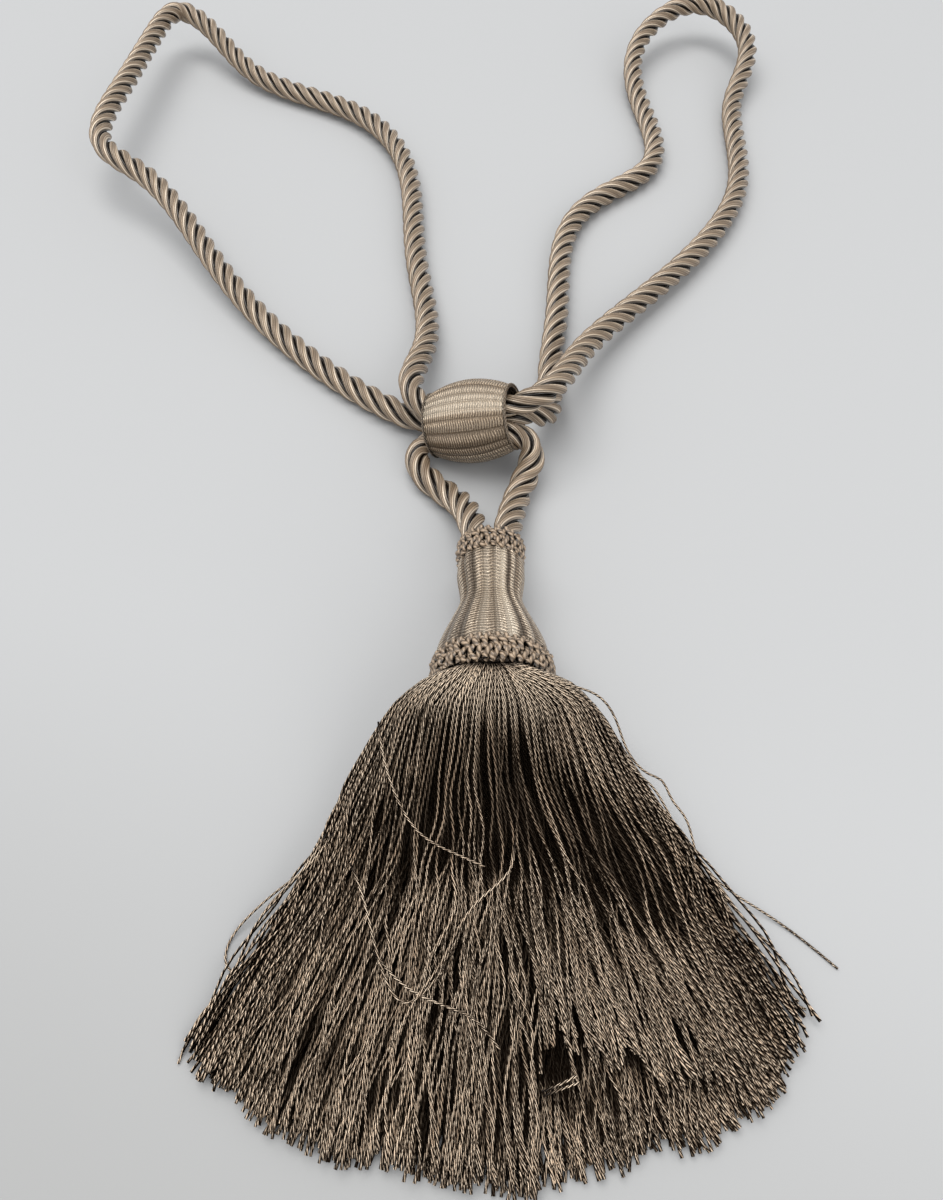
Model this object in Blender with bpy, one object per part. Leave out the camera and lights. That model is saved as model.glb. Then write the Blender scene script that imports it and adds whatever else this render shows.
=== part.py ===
"""Curtain tieback tassel: one laid rope that makes two loops, a hollow bead and a tassel.

Sizes are in millimetres here and are scaled to metres when a mesh is made.
+Z is up and the floor is z = 0. +Y runs from the tassel towards the two loops.
The origin is on the floor, at the middle of the small flat spot that the bead rests on.
"""
import math
import random

import bmesh
import bpy
import numpy as np

MM = 0.001
GAP = 0.3

# ---- driving sizes ------------------------------------------------------------------
ROPE_RADIUS = 5.0
ROPE_SQUEEZED_RADIUS = 4.1      # inside the bead and in the head, where the rope is nipped
ROPE_LEAD = 36.0                # length of one turn of the four strands
ROPE_STRANDS = 4
ROPE_VALLEY = 0.70              # depth of the groove between strands, as a share of the radius
ROPE_RINGS_PER_TURN = 6
SQUEEZE_REACH = 30.0            # the rope is full size again this far from the bead's middle
SQUEEZE_EASE = 12.0             # and narrows over this length
SQUEEZE_AWAY = 18.0             # only stretches that run this near the bead's axis are nipped
SQUEEZE_AWAY_EASE = 6.0
HEAD_SQUEEZE = 14.0             # at each end the rope narrows to its nipped size
HEAD_SQUEEZE_EASE = 10.0

BEAD_CENTRE = np.array([6.9, -1.2, 15.85])
BEAD_HALF_LENGTH = 15.7
BEAD_MIDDLE_RADIUS = 15.3
BEAD_END_RADIUS = 11.7
BEAD_BORE_RADIUS = 10.2
BEAD_MOUTH_RADIUS = 10.9
BEAD_LIFT = math.radians(18)    # the right end is raised by the ropes that leave it
BEAD_TURN = math.radians(10)    # and swung a little to the front
BEAD_RIBS = 20
RIB_HEIGHT = 0.35

PASS_RADIUS = 5.5               # the three rope passes lie round the bead's axis
PASS_REACH = 15.0

HEAD_X = 12.45
HEAD_TOP_Y = -64.2
HEAD_LENGTH = 53.0
HEAD_RIBS = 18
HEAD_PLAIN_TO = 7.0             # under the two bands the head has no ribs
HEAD_PLAIN_FROM = 45.0
KNOT_HEIGHT = 1.1
BASE_BAND_RADIUS = 19.0         # the base band touches the floor, so it sets the head's height
HEAD_Z = BASE_BAND_RADIUS

SKIRT_LENGTH = 128.0            # length of the yarn, from the band to its cut end
LOCK_ROWS = 4
LOCK_COLUMNS = 52
LOCK_FILL = 0.80                # share of its cell's width that a lock fills
LOCK_FILL_SPREAD = (0.9, 1.08)  # least and most of that share, from lock to lock
LOCK_LENGTH_SPREAD = (0.93, 1.03)
FIRST_LOCK = -0.965             # the rows run from here to the same place on the right
LAST_LOCK = 0.935
ROW_STEP_BACK = 2.5             # each row ends this much before the row above it
LOCK_LEAST_HEIGHT = 0.9
LOCK_CLEARANCE = 0.12           # share of its cell's height left free above and below a lock

# ---- the rope's free stretches: hand-laid points (x, y, z) ---------------------------
LEFT_LEG = [
    (8.0, -63.9, 19.0), (4.5, -42.0, 11.5), (-3.0, -28.0, 5.2), (-12.6, -17.5, 5.1),
    (-14.2, -6.5, 6.6),
]
RIGHT_LOOP = [
    (32.6, 4.2, 13.6), (37.0, 18.0, 7.2), (38.2, 38.0, 5.0), (43.0, 75.0, 5.0),
    (50.0, 130.0, 5.0), (67.0, 159.0, 5.0), (95.0, 187.0, 5.0), (95.0, 254.0, 6.0),
    (103.0, 303.0, 14.0), (136.0, 327.0, 19.0), (158.0, 292.0, 15.0), (146.0, 249.0, 6.0),
    (136.0, 170.0, 5.0), (84.0, 85.0, 8.0), (49.0, 35.0, 17.0), (29.5, -1.5, 28.0),
]
LEFT_LOOP = [
    (-20.0, 12.0, 6.0), (-77.0, 62.0, 6.0), (-112.0, 108.0, 13.0), (-147.0, 154.0, 21.0),
    (-168.0, 172.0, 24.0), (-171.0, 222.0, 24.0), (-166.0, 285.0, 22.0), (-157.0, 314.0, 21.0),
    (-143.0, 306.0, 18.0), (-112.0, 271.0, 8.0), (-55.0, 234.0, 6.5), (-27.0, 187.0, 6.0),
    (-19.0, 113.0, 5.0), (-13.0, 48.0, 10.0), (-15.8, 8.8, 18.3),
]
RIGHT_LEG = [
    (28.6, -11.8, 14.2), (26.0, -22.0, 7.2), (20.5, -41.0, 10.0), (17.0, -63.9, 19.0),
]

# ---- the head's turned profile: along its axis from the top, radius ------------------
HEAD_PROFILE = [
    (0.0, 8.6), (6.3, 8.8), (7.3, 10.4), (9.5, 10.9), (13.0, 10.7), (18.0, 9.7),
    (22.0, 9.5), (28.0, 11.7), (35.5, 15.1), (42.0, 17.3), (44.9, 17.6), (45.3, 16.7),
    (53.0, 16.7),
]

# ---- the two knotted bands: start and end along the head, inner and outer radius -----
TOP_BAND = {"start": -1.0, "end": 6.0, "inner": 9.15, "outer": 10.7, "knots": 16, "rows": 2}
BASE_BAND = {"start": 45.7, "end": 53.0, "inner": 17.05, "outer": BASE_BAND_RADIUS,
             "knots": 28, "rows": 2}

# ---- the skirt's cross-sections, each "along" millimetres past the base band ----------
# half: half width; crown and edge: height at the middle and at the sides;
# cradle: how far the underside rises to the sides; under: its lowest point; drift: sideways
SKIRT_COLUMNS = ("along", "half", "crown", "edge", "cradle", "under", "drift")
SKIRT_SECTIONS = [
    (0.3, 15.6, 31.0, 1.0, 14.0, 3.5, 0.0),
    (1.2, 18.5, 34.5, 1.0, 16.5, 1.5, 0.2),
    (4.0, 28.5, 37.0, 5.0, 12.0, 0.6, 0.5),
    (13.0, 36.5, 36.5, 9.0, 6.0, 0.0, 0.3),
    (44.0, 54.0, 17.5, 8.0, 0.0, 0.0, 2.4),
    (140.0, 107.0, 6.0, 3.0, 0.0, 0.0, 0.5),
]
LOCK_STATIONS = (4.0, 13.0, 44.0, 140.0)
# the dome that the locks are rooted in: along the skirt, share of the section there
DOME_SIDES = 22
DOME_BLUNTNESS = 0.3            # the dome's sides stand steeper the smaller this is
DOME_CLEARANCE = 0.1            # and its underside stays this far above the floor
DOME_RINGS = [(0.3, 1.0), (1.2, 1.0), (4.6, 1.05), (8.0, 0.90), (11.0, 0.5)]


# ---- mesh helpers ----------------------------------------------------------------------
def make_material(name, colour, roughness):
    material = bpy.data.materials.new(name)
    material.use_nodes = True
    shader = material.node_tree.nodes["Principled BSDF"]
    shader.inputs["Base Color"].default_value = (*colour, 1.0)
    shader.inputs["Roughness"].default_value = roughness
    shader.inputs["Metallic"].default_value = 0.0
    return material


def add_object(name, mesh, material):
    mesh.name = name
    mesh.materials.append(material)
    piece = bpy.data.objects.new(name, mesh)
    bpy.context.collection.objects.link(piece)
    return piece


def mesh_from(points, faces):
    mesh = bpy.data.meshes.new("piece")
    mesh.from_pydata([tuple(float(c) * MM for c in p) for p in points], [], faces)
    mesh.update()
    return mesh


def strip(first, second, count):
    """Quads between two rings of points that start at the given indices."""
    return [(first + j, first + (j + 1) % count, second + (j + 1) % count, second + j)
            for j in range(count)]


def loft(rings, closed_along=False):
    """A tube through rings of points, with flat ends unless it closes on itself."""
    count = len(rings[0])
    points = [p for ring in rings for p in ring]
    faces = []
    for i in range(len(rings) - 1):
        faces += strip(i * count, (i + 1) * count, count)
    if closed_along:
        faces += strip((len(rings) - 1) * count, 0, count)
    else:
        faces.append(tuple(reversed(range(count))))
        faces.append(tuple(range((len(rings) - 1) * count, len(rings) * count)))
    return points, faces


def outward(mesh):
    """Turn every face of a closed mesh outwards and split it into triangles."""
    work = bmesh.new()
    work.from_mesh(mesh)
    bmesh.ops.recalc_face_normals(work, faces=work.faces)
    bmesh.ops.triangulate(work, faces=work.faces)
    work.to_mesh(mesh)
    work.free()


# ---- the rope --------------------------------------------------------------------------
def bead_axes():
    """The bead's axis, the level direction across it, and the one square to both."""
    along = np.array([math.cos(BEAD_LIFT) * math.cos(BEAD_TURN),
                      -math.cos(BEAD_LIFT) * math.sin(BEAD_TURN), math.sin(BEAD_LIFT)])
    across = np.array([math.sin(BEAD_TURN), math.cos(BEAD_TURN), 0.0])
    return along, across, np.cross(along, across)


def bead_pass(start, end, start_angle, end_angle):
    """Five points of one rope pass, which winds a third of a turn round the bead's axis."""
    along, across, up = bead_axes()
    points = []
    for share in np.linspace(0.0, 1.0, 5):
        reach = start + (end - start) * share
        angle = math.radians(start_angle + (end_angle - start_angle) * share)
        round_axis = math.cos(angle) * across + math.sin(angle) * up
        points.append(BEAD_CENTRE + reach * along + PASS_RADIUS * round_axis)
    return points


def rope_route():
    """From the head through the bead to one loop, back through it, and so on to the head."""
    return np.array(LEFT_LEG + bead_pass(-PASS_REACH, PASS_REACH, 210, 330)
                    + RIGHT_LOOP + bead_pass(PASS_REACH, -PASS_REACH, 90, -30)
                    + LEFT_LOOP + bead_pass(-PASS_REACH, PASS_REACH, 90, 210) + RIGHT_LEG)


def spline_bends(route, spans):
    """Second derivatives of the natural cubic spline through the route."""
    count = len(route)
    system = np.zeros((count, count))
    target = np.zeros((count, 3))
    system[0, 0] = system[-1, -1] = 1.0
    for i in range(1, count - 1):
        system[i, i - 1:i + 2] = spans[i - 1], 2 * (spans[i - 1] + spans[i]), spans[i]
        target[i] = 6 * ((route[i + 1] - route[i]) / spans[i]
                         - (route[i] - route[i - 1]) / spans[i - 1])
    return np.linalg.solve(system, target)


def evenly_spaced(path, count):
    walked = np.concatenate([[0.0], np.cumsum(np.linalg.norm(np.diff(path, axis=0), axis=1))])
    places = np.linspace(0.0, walked[-1], count)
    return np.stack([np.interp(places, walked, path[:, k]) for k in range(3)], axis=1)


def smooth_curve(route, step, easing=16):
    """One smooth curve through the route, sampled every step and eased a little."""
    spans = np.linalg.norm(np.diff(route, axis=0), axis=1) ** 0.75
    bends = spline_bends(route, spans)
    fine = []
    for i, span in enumerate(spans):
        for b in np.linspace(0.0, 1.0, 40, endpoint=False):
            a = 1.0 - b
            fine.append(a * route[i] + b * route[i + 1]
                        + ((a ** 3 - a) * bends[i] + (b ** 3 - b) * bends[i + 1]) * span ** 2 / 6)
    fine = np.array(fine + [route[-1]])
    length = np.linalg.norm(np.diff(fine, axis=0), axis=1).sum()
    path = evenly_spaced(fine, int(length / step) + 1)
    for _ in range(easing):
        path[1:-1] = (path[:-2] + 2 * path[1:-1] + path[2:]) / 4
    return path


def rope_radii(path, step):
    """Full size in the open, squeezed in the bead and at both ends."""
    along = bead_axes()[0]
    offset = path - BEAD_CENTRE
    reach = offset @ along
    away = np.linalg.norm(offset - np.outer(reach, along), axis=1)
    in_bead = np.clip((SQUEEZE_REACH - np.abs(reach)) / SQUEEZE_EASE, 0, 1)
    in_bead *= np.clip((SQUEEZE_AWAY - away) / SQUEEZE_AWAY_EASE, 0, 1)
    walked = np.arange(len(path)) * step
    from_end = np.minimum(walked, walked[-1] - walked)
    in_head = np.clip((HEAD_SQUEEZE - from_end) / HEAD_SQUEEZE_EASE, 0, 1)
    return ROPE_RADIUS - (ROPE_RADIUS - ROPE_SQUEEZED_RADIUS) * np.maximum(in_bead, in_head)


def carried_frames(path):
    """Two directions square to the path at each point, carried along without twist."""
    tangents = np.gradient(path, axis=0)
    tangents /= np.linalg.norm(tangents, axis=1)[:, None]
    side = np.cross(tangents[0], (0.0, 0.0, 1.0))
    sides = []
    for tangent in tangents:
        side = side - tangent * (side @ tangent)
        side /= np.linalg.norm(side)
        sides.append(side)
    sides = np.array(sides)
    return sides, np.cross(tangents, sides)


def build_rope(material):
    path = smooth_curve(rope_route(), 1.0)
    radii = rope_radii(path, 1.0)
    path[:, 2] = np.maximum(path[:, 2], radii)
    length = np.linalg.norm(np.diff(path, axis=0), axis=1).sum()
    rings = int(round(length / ROPE_LEAD * ROPE_RINGS_PER_TURN)) + 1
    radii = np.interp(np.linspace(0, 1, rings), np.linspace(0, 1, len(radii)), radii)
    path = evenly_spaced(path, rings)
    sides, ups = carried_frames(path)
    corners = 2 * ROPE_STRANDS
    loops = []
    for i in range(rings):
        turn = 2 * math.pi * i / ROPE_RINGS_PER_TURN
        loop = []
        for j in range(corners):
            angle = turn + 2 * math.pi * j / corners
            reach = radii[i] * (1.0 if j % 2 == 0 else ROPE_VALLEY)
            point = path[i] + reach * (math.cos(angle) * sides[i] + math.sin(angle) * ups[i])
            point[1] = max(point[1], HEAD_TOP_Y + GAP)
            loop.append(point)
        loops.append(loop)
    mesh = mesh_from(*loft(loops))
    outward(mesh)
    return add_object("rope", mesh, material)


# ---- turned pieces ---------------------------------------------------------------------
def turned_ring(centre, across, up, radius, count, ribs, height):
    """A ring of points round a centre, raised at every rib."""
    ring = []
    for j in range(count):
        angle = 2 * math.pi * j / count
        raised = height * (0.5 + 0.5 * math.cos(ribs * angle))
        reach = radius - height + raised
        ring.append(centre + reach * (math.cos(angle) * across + math.sin(angle) * up))
    return ring


def build_bead(material):
    """A hollow barrel with lengthwise ribs, cut level where it rests."""
    along, across, up = bead_axes()
    count = 2 * BEAD_RIBS
    loops = []
    for share in np.linspace(-1.0, 1.0, 8):
        radius = BEAD_END_RADIUS + (BEAD_MIDDLE_RADIUS - BEAD_END_RADIUS) * (1 - share ** 2)
        centre = BEAD_CENTRE + share * BEAD_HALF_LENGTH * along
        height = 0.0 if abs(share) == 1.0 else RIB_HEIGHT
        loops.append(turned_ring(centre, across, up, radius, count, BEAD_RIBS, height))
    for share in (1.0, 0.5, -0.5, -1.0):
        radius = BEAD_BORE_RADIUS + (BEAD_MOUTH_RADIUS - BEAD_BORE_RADIUS) * share ** 2
        centre = BEAD_CENTRE + share * BEAD_HALF_LENGTH * along
        loops.append(turned_ring(centre, across, up, radius, count, 0, 0.0))
    mesh = mesh_from(*loft(loops, closed_along=True))
    work = bmesh.new()
    work.from_mesh(mesh)
    everything = list(work.verts) + list(work.edges) + list(work.faces)
    cut = bmesh.ops.bisect_plane(work, geom=everything, plane_co=(0, 0, 0), plane_no=(0, 0, 1),
                                 clear_inner=True)
    rim = [e for e in cut["geom_cut"] if isinstance(e, bmesh.types.BMEdge)]
    bmesh.ops.contextual_create(work, geom=rim)
    work.to_mesh(mesh)
    work.free()
    outward(mesh)
    return add_object("bead", mesh, material)


HEAD_ACROSS = np.array([1.0, 0.0, 0.0])
HEAD_UP = np.array([0.0, 0.0, 1.0])


def head_point(along):
    return np.array([HEAD_X, HEAD_TOP_Y - along, HEAD_Z])


def build_head(material):
    """The covered mould: bulge, waist and flare, with its lengthwise ribs."""
    count = 2 * HEAD_RIBS
    loops = []
    for along, radius in HEAD_PROFILE:
        hidden = along < HEAD_PLAIN_TO or along > HEAD_PLAIN_FROM
        height = 0.0 if hidden else RIB_HEIGHT
        loops.append(turned_ring(head_point(along), HEAD_ACROSS, HEAD_UP, radius, count,
                                 HEAD_RIBS, height))
    mesh = mesh_from(*loft(loops))
    outward(mesh)
    return add_object("head", mesh, material)


def build_band(name, band, material):
    """A ring of knots in staggered rows, plain inside."""
    count = 2 * band["knots"]
    levels = 2 * band["rows"]
    loops = []
    for level in range(levels + 1):
        centre = head_point(band["start"] + (band["end"] - band["start"]) * level / levels)
        ring = []
        for j in range(count):
            angle = 2 * math.pi * j / count
            on_row = level % 2 == 1
            on_knot = (j + level // 2) % 2 == 0
            reach = band["outer"] - (0.0 if on_row and on_knot else KNOT_HEIGHT)
            ring.append(centre + reach * (math.cos(angle) * HEAD_ACROSS + math.sin(angle) * HEAD_UP))
        loops.append(ring)
    for along in (band["end"], band["start"]):
        loops.append(turned_ring(head_point(along), HEAD_ACROSS, HEAD_UP, band["inner"],
                                 count, 0, 0.0))
    mesh = mesh_from(*loft(loops, closed_along=True))
    outward(mesh)
    return add_object(name, mesh, material)


# ---- the skirt -------------------------------------------------------------------------
def section_at(along):
    """The skirt's cross-section, read between the rows of its table."""
    table = np.array(SKIRT_SECTIONS)
    return {name: float(np.interp(along, table[:, 0], table[:, k]))
            for k, name in enumerate(SKIRT_COLUMNS)}


def underside(section, u):
    return section["under"] + section["cradle"] * (1 - math.sqrt(max(1 - u * u, 0.0)))


def height(section, u):
    fullness = (1 - min(abs(u), 1.0) ** 3) ** 0.7
    return section["edge"] + (section["crown"] - section["edge"]) * fullness


def skirt_x(section, u):
    return HEAD_X + section["drift"] + u * section["half"]


def lock_cell(section, row, left, right):
    """The lowest and highest place of a lock that keeps clear of the rows below and above."""
    steps = np.linspace(left, right, 5)
    floor = max(underside(section, u) + height(section, u) * row / LOCK_ROWS for u in steps)
    roof = min(underside(section, u) + height(section, u) * (row + 1) / LOCK_ROWS for u in steps)
    spare = max(roof - floor, LOCK_LEAST_HEIGHT)
    clear = LOCK_CLEARANCE * spare
    bottom = floor if row == 0 else floor + clear
    return bottom, floor + spare - clear


def lock_reach(u, length):
    """How far along the skirt a lock gets, where all end at one distance from the root."""
    along = LOCK_STATIONS[0]
    while math.hypot(skirt_x(section_at(along), u) - HEAD_X, along) < length:
        along += 0.5
    return along


def lock_rings(row, left, right, length):
    """Three-sided rings of one lock, from its root to its blunt end."""
    middle = (left + right) / 2
    end = lock_reach(middle, length)
    rings = []
    for along in LOCK_STATIONS:
        section = section_at(along)
        low, high = lock_cell(section, row, left, right)
        y = HEAD_TOP_Y - HEAD_LENGTH - along
        ring = np.array([(skirt_x(section, left), y, low), (skirt_x(section, right), y, low),
                         (skirt_x(section, middle), y, high)])
        if along > end:
            before = LOCK_STATIONS[LOCK_STATIONS.index(along) - 1]
            ring = rings[-1] + (ring - rings[-1]) * (end - before) / (along - before)
            rings.append(ring)
            break
        rings.append(ring)
    return rings


def build_locks():
    """All the locks, row above row, each in a cell of its own."""
    chance = random.Random(7)
    points, faces = [], []
    pitch = (LAST_LOCK - FIRST_LOCK) / LOCK_COLUMNS
    for row in range(LOCK_ROWS):
        stagger = 0.5 if row % 2 else 0.0
        for column in range(LOCK_COLUMNS):
            left = FIRST_LOCK + (column + stagger) * pitch
            width = pitch * LOCK_FILL * chance.uniform(*LOCK_FILL_SPREAD)
            length = SKIRT_LENGTH * chance.uniform(*LOCK_LENGTH_SPREAD)
            length -= ROW_STEP_BACK * (LOCK_ROWS - 1 - row)
            ring_points, ring_faces = loft(lock_rings(row, left, left + width, length))
            base = len(points)
            points += ring_points
            faces += [tuple(base + i for i in face) for face in ring_faces]
    return points, faces


def build_dome():
    """The packed roots: a blunt dome that the locks come out of."""
    loops = []
    for along, share in DOME_RINGS:
        section = section_at(along)
        y = HEAD_TOP_Y - HEAD_LENGTH - along
        middle = underside(section, 0) + height(section, 0) / 2
        loop = []
        for j in range(DOME_SIDES):
            angle = 2 * math.pi * j / DOME_SIDES
            u = math.cos(angle)
            low = underside(section, u)
            high = low + height(section, u)
            lift = math.sin(angle) / max(abs(math.sin(angle)), DOME_BLUNTNESS)
            z = (low + high) / 2 + (high - low) / 2 * lift
            z = max(middle + (z - middle) * share, DOME_CLEARANCE)
            loop.append((HEAD_X + section["drift"] + u * section["half"] * share, y, z))
        loops.append(loop)
    return loft(loops)


def build_skirt(material):
    locks_mesh = mesh_from(*build_locks())
    outward(locks_mesh)
    dome_mesh = mesh_from(*build_dome())
    outward(dome_mesh)
    skirt = add_object("skirt", dome_mesh, material)
    locks = add_object("locks_to_join", locks_mesh, material)
    locks.hide_render = True
    locks.display_type = "WIRE"
    join = skirt.modifiers.new("join locks", "BOOLEAN")
    join.operation = "UNION"
    join.solver = "EXACT"
    join.object = locks
    return skirt


# ---- the whole thing -------------------------------------------------------------------
for old in list(bpy.data.objects):
    bpy.data.objects.remove(old)

satin = make_material("satin rope", (0.36, 0.29, 0.21), 0.38)
cover = make_material("woven cover", (0.38, 0.31, 0.23), 0.42)
knots = make_material("knotted yarn", (0.33, 0.26, 0.19), 0.55)
yarn = make_material("skirt yarn", (0.20, 0.155, 0.11), 0.50)

build_rope(satin)
build_bead(cover)
build_head(cover)
build_band("top_band", TOP_BAND, knots)
build_band("base_band", BASE_BAND, knots)
build_skirt(yarn)
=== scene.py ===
"""The finish of a curtain tieback: satin rope, covered bead and head, knotted bands, yarn skirt."""
import math

import bpy
import numpy as np
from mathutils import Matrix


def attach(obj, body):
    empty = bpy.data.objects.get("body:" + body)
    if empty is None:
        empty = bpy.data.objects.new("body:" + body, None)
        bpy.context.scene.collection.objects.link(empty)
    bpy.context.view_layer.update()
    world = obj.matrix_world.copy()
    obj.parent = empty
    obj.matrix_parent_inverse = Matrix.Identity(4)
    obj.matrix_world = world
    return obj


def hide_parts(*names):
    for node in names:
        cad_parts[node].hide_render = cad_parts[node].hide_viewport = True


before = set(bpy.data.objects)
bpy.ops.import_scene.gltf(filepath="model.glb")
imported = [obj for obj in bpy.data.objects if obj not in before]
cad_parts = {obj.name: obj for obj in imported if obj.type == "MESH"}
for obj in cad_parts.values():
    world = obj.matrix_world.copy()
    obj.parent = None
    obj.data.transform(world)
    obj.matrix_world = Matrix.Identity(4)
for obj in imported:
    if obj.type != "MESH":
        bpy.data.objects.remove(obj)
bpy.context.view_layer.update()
MM = 0.001

# ---- camera: above the tassel, looking down across the bead to the loops ----------------
camera = bpy.data.objects.new("camera", bpy.data.cameras.new("camera"))
camera.data.sensor_fit = "VERTICAL"
camera.data.sensor_height = 36.0
camera.data.lens = 28.26
camera.data.clip_start = 0.01
camera.location = (0.00605, -0.25695, 0.2703)
camera.rotation_euler = (math.radians(34.4), 0.0, 0.0)
bpy.context.collection.objects.link(camera)
bpy.context.scene.camera = camera

# ---- rope -------------------------------------------------------------------------------
# One 10 mm rope of four satin strands, laid right-handed, each strand a bundle of fine yarns
# twisted the other way. It leaves the head, passes the bead, makes a loop, comes back through
# the bead, makes the other loop, and passes the bead a third time on its way to the head.
ROPE_RADIUS = 5.0
ROPE_SQUEEZED_RADIUS = 4.1      # inside the bead and in the head, where the rope is nipped
ROPE_LEAD = 36.0                # length of one turn of the four strands
ROPE_STRANDS = 4
ROPE_SIDES = 12
ROPE_STEP = 1.3
STRAND_REACH = 0.575            # a strand's middle and half sizes, as shares of the radius
STRAND_WIDE = 0.375
STRAND_TALL = 0.45
SQUEEZE_REACH = 30.0            # the rope is full size again this far from the bead's middle
SQUEEZE_EASE = 12.0
SQUEEZE_AWAY = 18.0             # only stretches that run this near the bead's axis are nipped
SQUEEZE_AWAY_EASE = 6.0
HEAD_NIP = 14.0                 # the rope is full size again this far from each of its ends
HEAD_NIP_EASE = 10.0
PATH_STEP = 1.0
PATH_EASING = 16
POINTS_PER_SPAN = 40
BEAD_CENTRE = np.array([6.9, -1.2, 15.85])
BEAD_LIFT = math.radians(18)
BEAD_TURN = math.radians(10)
PASS_RADIUS = 5.5               # the three rope passes lie round the bead's axis
PASS_REACH = 15.0
LEFT_LEG = [
    (8.0, -63.9, 19.0), (4.5, -42.0, 11.5), (-3.0, -28.0, 5.2), (-12.6, -17.5, 5.1),
    (-14.2, -6.5, 6.6),
]
RIGHT_LOOP = [
    (32.6, 4.2, 13.6), (37.0, 18.0, 7.2), (38.2, 38.0, 5.0), (43.0, 75.0, 5.0),
    (50.0, 130.0, 5.0), (67.0, 159.0, 5.0), (95.0, 187.0, 5.0), (95.0, 254.0, 6.0),
    (103.0, 303.0, 14.0), (136.0, 327.0, 19.0), (158.0, 292.0, 15.0), (146.0, 249.0, 6.0),
    (136.0, 170.0, 5.0), (84.0, 85.0, 8.0), (49.0, 35.0, 17.0), (29.5, -1.5, 28.0),
]
LEFT_LOOP = [
    (-20.0, 12.0, 6.0), (-77.0, 62.0, 6.0), (-112.0, 108.0, 13.0), (-147.0, 154.0, 21.0),
    (-168.0, 172.0, 24.0), (-171.0, 222.0, 24.0), (-166.0, 285.0, 22.0), (-157.0, 314.0, 21.0),
    (-143.0, 306.0, 18.0), (-112.0, 271.0, 8.0), (-55.0, 234.0, 6.5), (-27.0, 187.0, 6.0),
    (-19.0, 113.0, 5.0), (-13.0, 48.0, 10.0), (-15.8, 8.8, 18.3),
]
RIGHT_LEG = [
    (28.6, -11.8, 14.2), (26.0, -22.0, 7.2), (20.5, -41.0, 10.0), (17.0, -63.9, 19.0),
]
BEAD_ALONG = np.array([math.cos(BEAD_LIFT) * math.cos(BEAD_TURN),
                       -math.cos(BEAD_LIFT) * math.sin(BEAD_TURN), math.sin(BEAD_LIFT)])
BEAD_ACROSS = np.array([math.sin(BEAD_TURN), math.cos(BEAD_TURN), 0.0])
BEAD_UP = np.cross(BEAD_ALONG, BEAD_ACROSS)


def bead_pass(start, end, start_angle, end_angle):
    """Five points of one rope pass, which winds a third of a turn round the bead's axis."""
    points = []
    for share in np.linspace(0.0, 1.0, 5):
        angle = math.radians(start_angle + (end_angle - start_angle) * share)
        round_axis = math.cos(angle) * BEAD_ACROSS + math.sin(angle) * BEAD_UP
        reach = start + (end - start) * share
        points.append(BEAD_CENTRE + reach * BEAD_ALONG + PASS_RADIUS * round_axis)
    return points


def spline_bends(route, spans):
    """Second derivatives of the natural cubic spline through the route."""
    count = len(route)
    system = np.zeros((count, count))
    target = np.zeros((count, 3))
    system[0, 0] = system[-1, -1] = 1.0
    for i in range(1, count - 1):
        system[i, i - 1:i + 2] = spans[i - 1], 2 * (spans[i - 1] + spans[i]), spans[i]
        target[i] = 6 * ((route[i + 1] - route[i]) / spans[i]
                         - (route[i] - route[i - 1]) / spans[i - 1])
    return np.linalg.solve(system, target)


def evenly_spaced(path, count):
    """The same path, with count points an equal walk apart."""
    walked = np.concatenate([[0.0], np.cumsum(np.linalg.norm(np.diff(path, axis=0), axis=1))])
    places = np.linspace(0.0, walked[-1], count)
    return np.stack([np.interp(places, walked, path[:, k]) for k in range(3)], axis=1)


def smooth_curve(route, step, easing):
    """One smooth curve through the route, sampled every step and eased a little."""
    spans = np.linalg.norm(np.diff(route, axis=0), axis=1) ** 0.75
    bends = spline_bends(route, spans)
    fine = []
    for i, span in enumerate(spans):
        for b in np.linspace(0.0, 1.0, POINTS_PER_SPAN, endpoint=False):
            a = 1.0 - b
            fine.append(a * route[i] + b * route[i + 1]
                        + ((a ** 3 - a) * bends[i] + (b ** 3 - b) * bends[i + 1]) * span ** 2 / 6)
    fine = np.array(fine + [route[-1]])
    length = np.linalg.norm(np.diff(fine, axis=0), axis=1).sum()
    path = evenly_spaced(fine, int(length / step) + 1)
    for _ in range(easing):
        path[1:-1] = (path[:-2] + 2 * path[1:-1] + path[2:]) / 4
    return path


def rope_radii(path):
    """Full size in the open, squeezed in the bead and at both ends."""
    offset = path - BEAD_CENTRE
    reach = offset @ BEAD_ALONG
    away = np.linalg.norm(offset - np.outer(reach, BEAD_ALONG), axis=1)
    in_bead = np.clip((SQUEEZE_REACH - np.abs(reach)) / SQUEEZE_EASE, 0, 1)
    in_bead *= np.clip((SQUEEZE_AWAY - away) / SQUEEZE_AWAY_EASE, 0, 1)
    walked = np.arange(len(path), dtype=float)
    from_end = np.minimum(walked, walked[-1] - walked)
    in_head = np.clip((HEAD_NIP - from_end) / HEAD_NIP_EASE, 0, 1)
    return ROPE_RADIUS - (ROPE_RADIUS - ROPE_SQUEEZED_RADIUS) * np.maximum(in_bead, in_head)


def carried_frames(path):
    """Two directions square to the path at each point, carried along without twist."""
    tangents = np.gradient(path, axis=0)
    tangents /= np.linalg.norm(tangents, axis=1)[:, None]
    side = np.cross(tangents[0], (0.0, 0.0, 1.0))
    sides = []
    for tangent in tangents:
        side = side - tangent * (side @ tangent)
        side /= np.linalg.norm(side)
        sides.append(side)
    sides = np.array(sides)
    return sides, np.cross(tangents, sides)


def unit(vectors):
    """The same directions, each of length one."""
    return vectors / np.maximum(np.linalg.norm(vectors, axis=-1, keepdims=True), 1e-9)


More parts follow.
